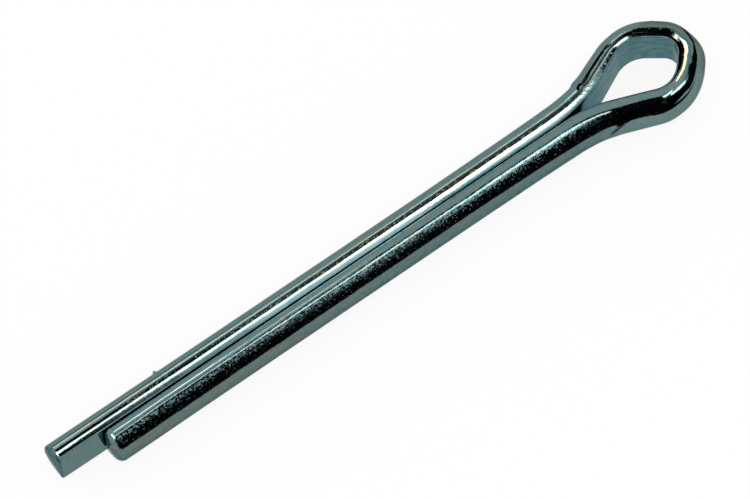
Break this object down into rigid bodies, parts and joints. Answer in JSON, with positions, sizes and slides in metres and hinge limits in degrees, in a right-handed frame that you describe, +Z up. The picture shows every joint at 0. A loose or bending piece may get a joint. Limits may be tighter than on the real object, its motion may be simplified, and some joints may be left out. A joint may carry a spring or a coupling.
{
  "type": "cotter pin",
  "caption": "Half-round wire folded flat to flat into a split shank with an eye at the fold and one leg longer than the other; locks a nut or clevis pin.",
  "frame": {"origin": "on the shank's axis, at the neck, where the long leg starts to bend into the eye", "axes": "+X along the shank from its tips toward the eye, +Y toward the long leg, +Z up with the pin lying flat"},
  "size_m": [0.0524, 0.0076, 0.0036],
  "materials": {
    "zinc_plated_steel": "bright zinc plating with a pale blue tint"
  },
  "bodies": {
    "root": {"cotter_pin": "zinc_plated_steel"}
  },
  "joints": []
}
